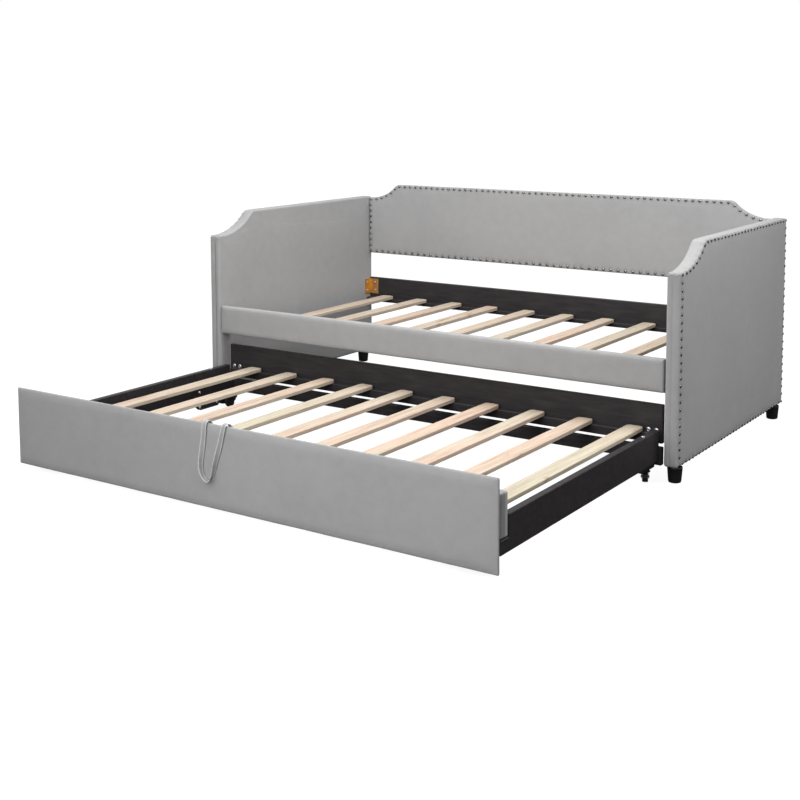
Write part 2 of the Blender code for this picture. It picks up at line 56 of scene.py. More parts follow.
# ---------------------------------------------------------------- camera and strap
CAMERA_PLACE = (2.584, -3.949, 1.300)
CAMERA_PITCH = 0.101
CAMERA_YAW = 0.594
CAMERA_ROLL = -0.003
CAMERA_LENS = 58.33
CAMERA_SHIFT = -0.225


def add_camera():
    data = bpy.data.cameras.new("camera")
    data.lens = CAMERA_LENS
    data.sensor_width = 36.0
    data.shift_y = CAMERA_SHIFT
    data.clip_start = 0.05
    data.clip_end = 500.0
    camera = bpy.data.objects.new("camera", data)
    camera.location = CAMERA_PLACE
    aim = (Matrix.Rotation(CAMERA_YAW, 3, "Z") @ Matrix.Rotation(math.pi / 2 - CAMERA_PITCH, 3, "X")
           @ Matrix.Rotation(CAMERA_ROLL, 3, "Z"))
    camera.rotation_euler = aim.to_euler()
    SCENE.collection.objects.link(camera)
    SCENE.camera = camera


# The pull strap's centreline: X along the bed, Y from the fascia's back face, Z above
# the floor, and how far it has turned edge on to the fascia (0 flat, 1 edge on).
STRAP_ROUTE = (
    (-0.070, 0.0130, 0.2445, 0.0),
    (-0.072, 0.0090, 0.2650, 0.0),
    (-0.075, 0.0035, 0.2860, 0.0),
    (-0.077, -0.0060, 0.2935, 0.0),
    (-0.079, -0.0160, 0.2895, 0.0),
    (-0.081, -0.0200, 0.2700, 0.05),
    (-0.084, -0.0210, 0.2350, 0.2),
    (-0.089, -0.0235, 0.1950, 0.5),
    (-0.092, -0.0260, 0.1550, 0.8),
    (-0.084, -0.0270, 0.1240, 1.0),
    (-0.060, -0.0270, 0.1080, 1.0),
    (-0.045, -0.0270, 0.1240, 1.0),
    (-0.037, -0.0260, 0.1550, 0.8),
    (-0.026, -0.0235, 0.1950, 0.5),
    (-0.015, -0.0210, 0.2350, 0.2),
    (-0.006, -0.0200, 0.2700, 0.05),
    (-0.002, -0.0160, 0.2895, 0.0),
    (0.002, -0.0060, 0.2935, 0.0),
    (0.005, 0.0035, 0.2860, 0.0),
    (0.008, 0.0090, 0.2650, 0.0),
    (0.009, 0.0130, 0.2445, 0.0),
)
STRAP_WIDTH = 0.017
STRAP_THICK = 0.0024
STRAP_SAMPLES = 150
STRAP_CURVE_STEPS = 24          # of the curve between two points of the route
STRAP_SHADED_GROOVE_HALF = 0.3         # of the width, between the two stitched edges, painted darker as shade


def smooth_route(route, samples):
    """Evenly spaced points of a Catmull-Rom curve through the route's points."""
    knots = [Vector(point) for point in route]
    knots = [2 * knots[0] - knots[1]] + knots + [2 * knots[-1] - knots[-2]]
    dense = []
    for i in range(1, len(knots) - 2):
        for step in range(STRAP_CURVE_STEPS):
            t = step / STRAP_CURVE_STEPS
            a, b, c, d = knots[i - 1:i + 3]
            dense.append(0.5 * (2 * b + (c - a) * t + (2 * a - 5 * b + 4 * c - d) * t ** 2
                                + (3 * b - a - 3 * c + d) * t ** 3))
    dense.append(knots[-2])
    travelled = [0.0]
    for previous, current in zip(dense, dense[1:]):
        travelled.append(travelled[-1] + (current - previous).to_3d().length)
    result = []
    index = 0
    for step in range(samples + 1):
        target = travelled[-1] * step / samples
        while index < len(dense) - 2 and travelled[index + 1] < target:
            index += 1
        share = (target - travelled[index]) / (travelled[index + 1] - travelled[index])
        result.append(dense[index].lerp(dense[index + 1], share))
    return result


def strap_section():
    """Half-thickness of the folded strap across its width: two raised stitched edges."""
    half = STRAP_WIDTH / 2
    across = (-1.0, -0.93, -0.80, -0.66, -0.54, -0.2, 0.2, 0.54, 0.66, 0.80, 0.93, 1.0)
    thick = (0.30, 0.85, 1.0, 0.95, 0.66, 0.72, 0.72, 0.66, 0.95, 1.0, 0.85, 0.30)
    upper = [(a * half, t * STRAP_THICK / 2) for a, t in zip(across, thick)]
    return upper + [(a, -t) for a, t in reversed(upper)]


def add_strap():
    fascia_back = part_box("fascia")[1].y
    route = [(x, fascia_back + y, z, turn) for x, y, z, turn in STRAP_ROUTE]
    points = smooth_route(route, STRAP_SAMPLES)
    section = strap_section()
    bm = bmesh.new()
    rings = []
    for index, point in enumerate(points):
        before = points[max(index - 1, 0)].to_3d()
        after = points[min(index + 1, len(points) - 1)].to_3d()
        tangent = (after - before).normalized()
        lean = math.radians(90) * min(max(point.w, 0.0), 1.0)
        wanted = Vector((math.cos(lean), math.sin(lean), 0.0))
        across = (wanted - tangent * wanted.dot(tangent)).normalized()
        normal = tangent.cross(across)
        rings.append([bm.verts.new(point.to_3d() + across * a + normal * n)
                      for a, n in section])
    bridge(bm, rings)
    bm.faces.new(rings[0])
    bm.faces.new(rings[-1])
    strap = object_from_bmesh("pull_strap_webbing", bm)
    # painted shade: marks the groove between the stitched edges, where the strap's colour is
    # darkened
    shaded_groove = strap.data.attributes.new("shaded_groove", "FLOAT", "POINT")
    inside = [1.0 if abs(a) < STRAP_WIDTH * STRAP_SHADED_GROOVE_HALF else 0.0 for a, _ in section]
    shaded_groove.data.foreach_set("value", inside * len(rings))
    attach(strap, "trundle")
    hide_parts("pull_strap")
    return strap


# ---------------------------------------------------------------- mesh helpers
def object_from_bmesh(name, bm, smooth=True):
    bmesh.ops.recalc_face_normals(bm, faces=bm.faces)
    mesh = bpy.data.meshes.new(name)
    bm.to_mesh(mesh)
    bm.free()
    mesh.polygons.foreach_set("use_smooth", [smooth] * len(mesh.polygons))
    piece = bpy.data.objects.new(name, mesh)
    SCENE.collection.objects.link(piece)
    return piece


def object_from_arrays(name, points, faces):
    mesh = bpy.data.meshes.new(name)
    mesh.from_pydata([tuple(p) for p in points], [], faces)
    bm = bmesh.new()
    bm.from_mesh(mesh)
    bpy.data.meshes.remove(mesh)
    return object_from_bmesh(name, bm)


def bridge(bm, rings):
    """Quads from each ring of vertices to the next."""
    for ring, following in zip(rings, rings[1:]):
        for i in range(len(ring)):
            j = (i + 1) % len(ring)
            bm.faces.new((ring[i], ring[j], following[j], following[i]))


def round_rings(centre, outward, radius, height, profile, count):
    """Circles of points for a round head: each is a share of its radius and height."""
    side = outward.orthogonal().normalized()
    other = outward.cross(side)
    rings = []
    for share, rise in profile:
        ring = []
        for i in range(count):
            angle = math.tau * i / count
            spoke = side * math.cos(angle) + other * math.sin(angle)
            ring.append(centre + spoke * radius * share + outward * height * rise)
        rings.append(ring)
    return rings


def coordinates(mesh):
    flat = np.zeros(len(mesh.vertices) * 3)
    mesh.vertices.foreach_get("co", flat)
    return flat.reshape(-1, 3)


def normals(mesh):
    flat = np.zeros(len(mesh.vertices) * 3, np.float32)
    mesh.vertex_normals.foreach_get("vector", flat)
    return flat.reshape(-1, 3).astype(float)


def set_coordinates(mesh, points):
    mesh.vertices.foreach_set("co", np.asarray(points, np.float32).ravel())
    mesh.update()


# ---------------------------------------------------------------- upholstered panels
ROUND_STEPS = 3               # grid lines round an edge
ALONG_FINE = 1.6              # the grid's pitch along a panel and through it, as shares
THROUGH_FINE = 1.5            # of its pitch up the panel


def grid_lines(length, rounding, fine, band, coarse, extra=()):
    """Grid lines along a panel's side: a few round each edge, close ones over the band
    beside it and wide ones between. Lines in extra replace their nearest one."""
    edge = [rounding * i / ROUND_STEPS for i in range(ROUND_STEPS + 1)]
    count = max(0, round(band / fine))
    near = [rounding + band * (i + 1) / count for i in range(count)]
    first = edge + near
    span = length - 2 * first[-1]
    inner = max(1, round(span / coarse))
    middle = [first[-1] + span * i / inner for i in range(1, inner)]
    lines = first + middle + [length - m for m in reversed(first)]
    for value in extra:
        nearest = min(range(1, len(lines) - 1), key=lambda i: abs(lines[i] - value))
        lines[nearest] = value
    return lines


def box_grid(us, vs, ts):
    """Closed quad skin of a box with those grid lines: points and faces."""
    index = {}
    points = []

    def point(i, j, k):
        if (i, j, k) not in index:
            index[i, j, k] = len(points)
            points.append((us[i], vs[j], ts[k]))
        return index[i, j, k]

    nu, nv, nt = len(us) - 1, len(vs) - 1, len(ts) - 1
    faces = []
    for i in range(nu):
        for j in range(nv):
            for k in (0, nt):
                faces.append((point(i, j, k), point(i + 1, j, k),
                              point(i + 1, j + 1, k), point(i, j + 1, k)))
    for i in range(nu):
        for k in range(nt):
            for j in (0, nv):
                faces.append((point(i, j, k), point(i + 1, j, k),
                              point(i + 1, j, k + 1), point(i, j, k + 1)))
    for j in range(nv):
        for k in range(nt):
            for i in (0, nu):
                faces.append((point(i, j, k), point(i, j + 1, k),
                              point(i, j + 1, k + 1), point(i, j, k + 1)))
    return np.array(points), faces


class Panel:
    """A board wrapped in foam and fabric. u runs along it, v up and t through it, from
    its outer face at t = 0; top(u) is its height there."""

    def __init__(self, name, node, body, u_axis, t_axis, top=None, rounding=0.008,
                 inset=0.0025, end_inset=None, crown=(0.0010, 0.020), seam=None,
                 seam_depth=1.0, fine=0.0042, band=0.026, coarse=0.011):
        low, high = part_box(node)
        self.name, self.node, self.body = name, node, body
        self.u_axis, self.t_axis = Vector(u_axis), Vector(t_axis)
        self.inset, self.rounding = inset, rounding
        self.end_inset = inset if end_inset is None else end_inset
        self.crown = crown    # how far its front face falls back at its edges, and over what
        self.seam, self.seam_depth = seam, seam_depth
        corner = [0.0, 0.0, low.z]
        for axis in (self.u_axis, self.t_axis):
            k = max(range(2), key=lambda i: abs(axis[i]))
            corner[k] = low[k] if axis[k] > 0 else high[k]
        self.origin = Vector(corner)
        size = high - low
        self.length = abs(size.dot(self.u_axis))
        self.height = size.z
        self.thick = abs(size.dot(self.t_axis))
        self.top = top or (lambda u: self.height)
        self.fine, self.band, self.coarse = fine, band, coarse
        self.nails = []

    def place(self, u, v, t):
        """The point of the row frame at that place of the panel."""
        return self.origin + self.u_axis * u + self.t_axis * t + Vector((0, 0, v))

    def local(self, points):
        """Row-frame points as columns u, v and t."""
        away = points - np.array(self.origin)
        return np.stack([away @ np.array(self.u_axis), away[:, 2],
                         away @ np.array(self.t_axis)], axis=1)

    def build(self):
        """Makes the piece: a box skin with rounded edges, its top lifted to the outline."""
        inset, r = self.inset, self.rounding
        insets = np.array([self.end_inset, inset, inset])
        size = np.array([self.length, self.height, self.thick]) - 2 * insets
        extra = () if self.seam is None else (self.seam - inset,)
        us = grid_lines(size[0], r, self.fine * ALONG_FINE, self.band, self.coarse)
        vs = grid_lines(size[1], r, self.fine, min(self.band, size[1] / 4), self.coarse)
        ts = grid_lines(size[2], r, self.fine, 0.0, self.fine * THROUGH_FINE, extra)
        points, faces = box_grid(us, vs, ts)
        inner = np.clip(points, r, size - r)
        away = points - inner
        points = inner + away * (r / np.linalg.norm(away, axis=1))[:, None]
        tops = np.array([self.top(u + self.end_inset) for u in points[:, 0]]) - 2 * inset
        v = points[:, 1]
        scaled = r + (v - r) * (tops - 2 * r) / (size[1] - 2 * r)
        points[:, 1] = np.where(v > size[1] - r, v - size[1] + tops, np.where(v < r, v, scaled))
        points += insets
        world = [self.place(*p) for p in points]
        self.piece = object_from_arrays(self.name, world, faces)
        return self.piece


BOTH_ENDS_LENGTH = 1.5          # a longer panel, the back panel, is scalloped at both ends


def arc_top(length, height, end_height, start, radius):
    """Height of a panel whose top steps up through a hollow curve at one or both ends."""

    def top(u):
        along = min(u, length - u) if both else u
        run = along - start
        if run <= 0:
            return end_height
        if run >= reach:
            return height
        return end_height + radius - math.sqrt(radius ** 2 - run ** 2)

    both = length > BOTH_ENDS_LENGTH
    rise = height - end_height
    reach = math.sqrt(radius ** 2 - (radius - rise) ** 2)
    return top


def softened(top, width, samples=9):
    """The same outline with its corners rounded over that width."""

    def smooth(u):
        offsets = [(i / (samples - 1) - 0.5) * width for i in range(samples)]
        return sum(top(u + o) for o in offsets) / samples

    return smooth


END_INSET = 0.0005            # of a panel that butts against the arms
ARM_SEAM = 0.031              # from the outer face to the seam along the arm's front edge
ARM_TOP = dict(end_height=0.652, start=0.020, radius=0.263)
ARM_TOP_SOFTENING = 0.018
PANEL_TOP = dict(end_height=0.268, start=0.010, radius=0.199)
PANEL_TOP_SOFTENING = 0.007

NAIL_RADIUS = 0.0056
NAIL_HEIGHT = 0.0024
NAIL_SEED = 11
NAIL_TILT = 0.08
NAIL_STRAY = 0.0007
NAIL_SINK = 0.0004            # below the surface that the fabric starts from

# Rows of nails: distances from the arm's edges, then the pitches along them.
ARM_NAILS_FRONT = 0.0165
ARM_NAILS_REAR = 0.0125
ARM_NAILS_UNDER = 0.0115
ARM_NAILS_OVER = 0.010
ARM_NAILS_NOSE = 0.0085
ARM_SCALLOP_END = 0.235
ARM_SCALLOP_START = 0.006     # behind the front row
ARM_PITCH_FRONT = 0.026
ARM_PITCH_SCALLOP = 0.0285
ARM_PITCH_TOP = 0.033
ARM_PITCH_PLAIN = 0.030

BACK_NAILS_SIDE = 0.010
BACK_NAILS_UNDER = 0.013
BACK_NAILS_OVER = 0.010
BACK_SCALLOP_START = 0.003
BACK_PITCH_UNDER = 0.0335
BACK_PITCH_SIDE = 0.028
BACK_PITCH_TOP = 0.030

OUTLINE_SAMPLES = 1200
SLOPE_STEP = 0.002


def evenly(start, end, pitch):
    """Numbers from start to end about that pitch apart, both ends included."""
    count = max(1, round(abs(end - start) / pitch))
    return [start + (end - start) * i / count for i in range(count + 1)]


def along_outline(top, u_start, u_end, inset, pitch):
    """Places under a panel's top edge, evenly spaced along it."""
    us = np.linspace(u_start, u_end, OUTLINE_SAMPLES)
    line = []
    for u in us:
        slope = (top(u + SLOPE_STEP) - top(u - SLOPE_STEP)) / (2 * SLOPE_STEP)
        scale = inset / math.hypot(1.0, slope)
        line.append((u + slope * scale, top(u) - scale))
    line = np.array(line)
    steps = np.concatenate([[0.0], np.cumsum(np.linalg.norm(np.diff(line, axis=0), axis=1))])
    wanted = evenly(0.0, float(steps[-1]), pitch)
    return [(float(np.interp(w, steps, line[:, 0])), float(np.interp(w, steps, line[:, 1])))
            for w in wanted]


def arm_nails(panel):
    """Nail heads all round an arm's outer face."""
    front, rear = ARM_NAILS_FRONT, panel.length - ARM_NAILS_REAR
    under, over = ARM_NAILS_UNDER, ARM_NAILS_OVER
    nose = panel.top(front) - ARM_NAILS_NOSE
    crest = panel.height - over
    nails = [(front, v) for v in evenly(under, nose, ARM_PITCH_FRONT)]
    nails += along_outline(panel.top, front + ARM_SCALLOP_START, ARM_SCALLOP_END, over,
                           ARM_PITCH_SCALLOP)[1:]
    nails += [(u, crest) for u in evenly(ARM_SCALLOP_END, rear, ARM_PITCH_TOP)[1:]]
    nails += [(rear, v) for v in evenly(crest, under, ARM_PITCH_PLAIN)[1:]]
    nails += [(u, under) for u in evenly(rear, front, ARM_PITCH_PLAIN)[1:-1]]
    return nails


def back_panel_nails(panel):
    """Nail heads all round the back panel's front face."""
    side, under, over = BACK_NAILS_SIDE, BACK_NAILS_UNDER, BACK_NAILS_OVER
    end = panel.length - side
    nails = [(u, under) for u in evenly(side, end, BACK_PITCH_UNDER)]
    for u in (side, end):
        rows = evenly(under, panel.top(side) - over, BACK_PITCH_SIDE)
        nails += [(u, v) for v in rows[1:-1]]
    nails += along_outline(panel.top, side + BACK_SCALLOP_START, end - BACK_SCALLOP_START,
                           over, BACK_PITCH_TOP)
    return nails


def smooth_step(values, low, high):
    t = np.clip((values - low) / (high - low), 0.0, 1.0)
    return t * t * (3 - 2 * t)


HELD_BY_NAIL = 0.0052         # radius round a nail
HELD_BY_SEAM = 0.0008         # either side of a seam
HELD_AT_END = 0.001


def held_weights(panel, points):
    """How firmly the fabric is held at each point: nails, staples, seams and ends."""
    place = panel.local(points)
    held = np.zeros(len(points))
    for u, v in panel.nails:
        near = np.hypot(place[:, 0] - u, place[:, 1] - v) < HELD_BY_NAIL
        held[near & (place[:, 2] < panel.thick * 0.3)] = 1.0
    held[place[:, 1] < panel.inset + panel.rounding * 0.5] = 1.0
    if panel.seam is not None:
        on_front = place[:, 0] < panel.inset + panel.rounding * 0.6
        held[on_front & (np.abs(place[:, 2] - panel.seam) < HELD_BY_SEAM)] = 1.0
    if not panel.nails:
        inside = np.minimum(place[:, 2] - panel.inset, panel.thick - panel.inset - place[:, 2])
        ends = np.minimum(place[:, 0], panel.length - place[:, 0])
        at_end = ends < panel.end_inset + HELD_AT_END
        held[at_end & (inside > panel.rounding)] = 1.0
    return held


CLOTH_FRAMES = 20
CLOTH_PRESSURE = 4.0
CLOTH_STRETCH = 40.0
CLOTH_BEND = 1.5


def simulate(panels):
    """Blows the fabric of every panel up a little between where it is held."""
    for panel in panels:
        group = panel.piece.vertex_groups.new(name="held")
        held = held_weights(panel, coordinates(panel.piece.data))
        group.add([int(i) for i in np.flatnonzero(held)], 1.0, "REPLACE")
        cloth = panel.piece.modifiers.new("cloth", "CLOTH")
        cloth.settings.vertex_group_mass = "held"
        cloth.settings.use_pressure = True
        cloth.settings.uniform_pressure_force = CLOTH_PRESSURE
        cloth.settings.effector_weights.gravity = 0.0
        cloth.settings.tension_stiffness = CLOTH_STRETCH
        cloth.settings.compression_stiffness = CLOTH_STRETCH
        cloth.settings.bending_stiffness = CLOTH_BEND
        cloth.point_cache.frame_start = 1
        cloth.point_cache.frame_end = CLOTH_FRAMES
    for step in range(1, CLOTH_FRAMES + 1):
        SCENE.frame_set(step)
    graph = bpy.context.evaluated_depsgraph_get()
    for panel in panels:
        mesh = panel.piece.data
        blown = panel.piece.evaluated_get(graph).to_mesh()
        panel.moved = coordinates(blown) - coordinates(mesh)
        panel.piece.evaluated_get(graph).to_mesh_clear()
    for panel in panels:
        panel.piece.modifiers.clear()
        panel.piece.vertex_groups.clear()
    SCENE.frame_set(1)


def evened(mesh, values, rounds):
    """Values at a mesh's points, each averaged with its neighbours that many times."""
    ends = np.zeros(len(mesh.edges) * 2, np.int32)
    mesh.edges.foreach_get("vertices", ends)
    first, second = ends[::2], ends[1::2]
    count = np.bincount(ends, minlength=len(values))
    for _ in range(rounds):
        total = np.bincount(first, values[second], len(values))
        total += np.bincount(second, values[first], len(values))
        values = (values + total / count) / 2
    return values


EVENED_SHARE = 0.65           # of the swelling that is evened out over its neighbours
EVENED_ROUNDS = 30
SLIDE_LIMIT = 0.0015


def swell(panel):
    """Adds the simulated swelling, capped so that the fabric stops at the CAD surface."""
    mesh = panel.piece.data
    points, outward = coordinates(mesh), normals(mesh)
    out = (panel.moved * outward).sum(1)
    slide = panel.moved - outward * out[:, None]
    cap = panel.inset
    out = cap * np.tanh(np.maximum(out, 0.0) / cap)
    held = held_weights(panel, points)
    out = ((1 - EVENED_SHARE) * out
           + EVENED_SHARE * evened(mesh, out, EVENED_ROUNDS) * (1 - held))
    reach = np.linalg.norm(slide, axis=1)
    slide *= (np.minimum(reach, SLIDE_LIMIT) / np.maximum(reach, 1e-9))[:, None]
    set_coordinates(mesh, points + outward * out[:, None] + slide)


def subdivided(panel):
    modifier = panel.piece.modifiers.new("finer", "SUBSURF")
    modifier.levels = modifier.render_levels = 1
    graph = bpy.context.evaluated_depsgraph_get()
    mesh = bpy.data.meshes.new_from_object(panel.piece.evaluated_get(graph))
    panel.piece.modifiers.clear()
    old = panel.piece.data
    panel.piece.data = mesh
    bpy.data.meshes.remove(old)
    mesh.name = panel.name


def noise_at(points, scale, seed):
    offset = Vector((seed * 3.7, seed * 1.3, seed * 2.1))
    return np.array([noise.noise(Vector(p) * scale + offset) for p in points])


CROWN_SAMPLES = 400


def crowned(panel, place):
    """How far each point of the front half falls back towards the panel's edges."""
    depth, width = panel.crown
    us = np.linspace(0, panel.length, CROWN_SAMPLES)
    over = np.interp(place[:, 0], us, [panel.top(u) for u in us]) - place[:, 1]
    edge = np.minimum(np.minimum(place[:, 0], panel.length - place[:, 0]),
                      np.minimum(place[:, 1], over))
    fall = (1 - np.clip(edge / width, 0, 1)) ** 2
    return depth * fall * np.clip(1 - 2 * place[:, 2] / panel.thick, 0, 1)


OUTER_SHARE = 0.35            # of a panel's thickness belongs to its outer face
# The *_SHADE values below are painted shade: how far the fabric's colour is darkened in nail
# dimples, seams, pucker hollows, at panel ends and on the folded rail ends.
DIMPLE_DEPTH = 0.0012
DIMPLE_WIDTH = 0.0065
DIMPLE_SHADE = 0.8
DIMPLE_SHADE_WIDTH = 0.0085
SEAM_DEPTH = 0.0026
SEAM_WIDTH = 0.0028
SEAM_SHADE = 0.8
SEAM_FADE = (0.05, 0.004)     # below the nose, where the seam starts to fade and is gone
PAD_DROP = 0.0012
PAD_EDGE = 0.014
PUCKER_HEIGHT = 0.0007
PUCKER_REACH = 0.026
PUCKER_SHADE = 0.5
END_SHADE = 0.75
END_SHADE_WIDTH = 0.0035
FOLD_SHADE = 0.9
FOLD_END = 0.0045
UNEVENNESS = ((0.0005, 7.0, 1), (0.00022, 38.0, 2))    # height, scale and seed


def bell(distance, width):
    """1 at no distance, falling smoothly to almost nothing at twice that width."""
    return np.exp(-((distance / width) ** 2))


def detail(panel):
    """Dimples at the nails, seams, puckers and the slight unevenness of hand-pulled fabric.
    Leaves painted shade as an attribute for the fabric's colour: how much darker it is painted in
    the dimples, seams, pucker hollows and at the ends, and the fascia's painted shadow on the
    trundle rail's end faces."""
    mesh = panel.piece.data
    points, outward = coordinates(mesh), normals(mesh)
    place = panel.local(points)
    push = np.zeros(len(points))
    painted_shade = np.zeros(len(points))
    if panel.nails:
        near_outer = place[:, 2] < panel.thick * OUTER_SHARE
        far = np.full(len(points), 1.0)
        for u, v in panel.nails:
            far = np.minimum(far, np.hypot(place[:, 0] - u, place[:, 1] - v))
        push -= DIMPLE_DEPTH * (bell(far, DIMPLE_WIDTH) * near_outer)
        # painted shade in the dimple round each nail
        painted_shade = np.maximum(painted_shade, DIMPLE_SHADE * bell(far, DIMPLE_SHADE_WIDTH) * near_outer)
    if panel.seam is not None:
        front = 1 - smooth_step(place[:, 0], panel.rounding * 0.8, panel.rounding * 1.8)
        nose = panel.top(0.0)
        fade = 1 - smooth_step(place[:, 1], nose - SEAM_FADE[0], nose - SEAM_FADE[1])
        across = np.abs(place[:, 2] - panel.seam)
        shaded_groove = bell(across, SEAM_WIDTH) * front * fade * panel.seam_depth
        push -= SEAM_DEPTH * shaded_groove
        # painted shade along the seam groove
        painted_shade = np.maximum(painted_shade, SEAM_SHADE * shaded_groove)
        # the inner pad's edge is rounder than the outer wrap's
        pad = smooth_step(place[:, 2], panel.seam, panel.thick) * front
        push -= PAD_DROP * pad * smooth_step(place[:, 2], panel.thick - PAD_EDGE, panel.thick)
        # puckers fan out from a point inside the nose, where the fabric turns over it
        around = np.arctan2(place[:, 1] - nose + 0.03, place[:, 0] + 0.02)
        reach = np.hypot(place[:, 0] - 0.004, place[:, 1] - nose)
        wrinkle = np.sin(around * 23 + place[:, 2] * 260) * bell(reach, PUCKER_REACH)
        push += PUCKER_HEIGHT * wrinkle
        # painted shade in the pucker hollows
        painted_shade = np.maximum(painted_shade, PUCKER_SHADE * np.clip(-wrinkle, 0, 1))
    ends = np.minimum(place[:, 0], panel.length - place[:, 0])
    if not panel.nails:
        # painted shade along the ends of the rails and the fascia
        painted_shade = np.maximum(painted_shade, END_SHADE * bell(ends, END_SHADE_WIDTH))
    if panel.node == "trundle_front_rail":
        # painted shadow of the fascia on the end faces: their front part, where the fabric is
        # folded in behind the fascia, is painted darker
        fold = 1 - smooth_step(place[:, 2], panel.thick * 0.5, panel.thick * 0.62)
        painted_shade = np.where(ends < FOLD_END, FOLD_SHADE * fold, 0.0)
    push += sum(height * noise_at(points, scale, seed) for height, scale, seed in UNEVENNESS)
    back = crowned(panel, place)[:, None] * np.array(panel.t_axis)
    set_coordinates(mesh, points + outward * push[:, None] + back)
    # painted shade, multiplied into the fabric's colour by its material
    attribute = mesh.attributes.new("painted_shade", "FLOAT", "POINT")
    attribute.data.foreach_set("value", painted_shade.astype(np.float32))
    mesh.polygons.foreach_set("use_smooth", [True] * len(mesh.polygons))


NAIL_SIDES = 12
NAIL_PROFILE = ((1.0, -0.35), (1.0, 0.12), (0.90, 0.48), (0.66, 0.80), (0.34, 0.96))


def nail_dome(bm, centre, outward):
    """A domed nail head standing on that point."""
    rings = [[bm.verts.new(p) for p in ring]
             for ring in round_rings(centre, outward, NAIL_RADIUS, NAIL_HEIGHT,
                                     NAIL_PROFILE, NAIL_SIDES)]
    bridge(bm, rings)
    top = bm.verts.new(centre + outward * NAIL_HEIGHT)
    foot = bm.verts.new(centre + outward * NAIL_HEIGHT * NAIL_PROFILE[0][1])
    for i in range(NAIL_SIDES):
        j = (i + 1) % NAIL_SIDES
        bm.faces.new((rings[-1][i], rings[-1][j], top))
        bm.faces.new((rings[0][j], rings[0][i], foot))


def add_nails(panel, material):
    dice = random.Random(NAIL_SEED)
    bm = bmesh.new()
    for u, v in panel.nails:
        outward = -panel.t_axis
        tilt = Vector([dice.uniform(-NAIL_TILT, NAIL_TILT) for _ in range(3)])
        centre = panel.place(u + dice.uniform(-NAIL_STRAY, NAIL_STRAY),
                             v + dice.uniform(-NAIL_STRAY, NAIL_STRAY),
                             panel.inset - NAIL_SINK)
        nail_dome(bm, centre, (outward + tilt).normalized())
    piece = object_from_bmesh(f"{panel.node}_nail_heads", bm)
    piece.data.materials.append(material)
    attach(piece, panel.body)


# ---------------------------------------------------------------- materials
class Shader:
    """A Principled material and short calls to put nodes in front of it."""

    def __init__(self, name, **constants):
        self.material = bpy.data.materials.new(name)
        self.material.use_nodes = True
        self.tree = self.material.node_tree
        self.body = self.tree.nodes["Principled BSDF"]
        for socket, value in constants.items():
            self.body.inputs[socket.replace("_", " ")].default_value = value
        self.where = self.node("ShaderNodeTexCoord").outputs["Object"]

    def node(self, kind, **settings):
        made = self.tree.nodes.new(kind)
        for key, value in settings.items():
            setattr(made, key, value)
        return made

    def link(self, output, target):
        if isinstance(target, str):
            target = self.body.inputs[target]
        self.tree.links.new(output, target)

    def scaled(self, scale, turn=(0.0, 0.0, 0.0)):
        mapping = self.node("ShaderNodeMapping")
        mapping.inputs["Scale"].default_value = scale
        mapping.inputs["Rotation"].default_value = turn
        self.link(self.where, mapping.inputs["Vector"])
        return mapping.outputs["Vector"]

    def noise(self, scale, detail=3.0, rough=0.5, stretch=(1.0, 1.0, 1.0), warp=0.0):
        texture = self.node("ShaderNodeTexNoise")
        texture.inputs["Scale"].default_value = scale
        texture.inputs["Detail"].default_value = detail
        texture.inputs["Roughness"].default_value = rough
        texture.inputs["Distortion"].default_value = warp
        self.link(self.scaled(stretch), texture.inputs["Vector"])
        return texture.outputs["Fac"]

    def waves(self, scale, axis, warp=0.0):
        texture = self.node("ShaderNodeTexWave", bands_direction=axis)
        texture.inputs["Scale"].default_value = scale
        texture.inputs["Distortion"].default_value = warp
        texture.inputs["Detail"].default_value = 1.0
        self.link(self.where, texture.inputs["Vector"])
        return texture.outputs["Fac"]

    def maths(self, operation, first, second):
        made = self.node("ShaderNodeMath", operation=operation)
        for value, socket in zip((first, second), made.inputs):
            if isinstance(value, (int, float)):
                socket.default_value = value
            else:
                self.link(value, socket)
        return made.outputs[0]

    def ramp(self, factor, *stops):
        made = self.node("ShaderNodeValToRGB")
        elements = made.color_ramp.elements
        while len(elements) < len(stops):
            elements.new(0.5)
        for element, (place, colour) in zip(elements, stops):
            element.position = place
            element.color = colour if len(colour) == 4 else (*colour, 1.0)
        self.link(factor, made.inputs["Fac"])
        return made.outputs["Color"]

    def mix(self, factor, first, second, blend="MIX"):
        made = self.node("ShaderNodeMix", data_type="RGBA", blend_type=blend)
        factor_in, first_in, second_in = (made.inputs[0], made.inputs[6], made.inputs[7])
        for value, socket in ((factor, factor_in), (first, first_in), (second, second_in)):
            if isinstance(value, (int, float)):
                socket.default_value = value
            elif isinstance(value, tuple):
                socket.default_value = value if len(value) == 4 else (*value, 1.0)
            else:
                self.link(value, socket)
        return made.outputs[2]

    def spread(self, factor, low, high):
        made = self.node("ShaderNodeMapRange")
        made.inputs["To Min"].default_value = low
        made.inputs["To Max"].default_value = high
        self.link(factor, made.inputs["Value"])
        return made.outputs["Result"]

    def bump(self, height, distance, strength=1.0):
        made = self.node("ShaderNodeBump")
        made.inputs["Strength"].default_value = strength
        made.inputs["Distance"].default_value = distance
        self.link(height, made.inputs["Height"])
        self.link(made.outputs["Normal"], "Normal")


def grey(value, tint=(1.0, 1.0, 1.0)):
    return tuple(value * t for t in tint)


FABRIC_TONE = 0.405
WEAVE = 300.0                 # scale of the threads


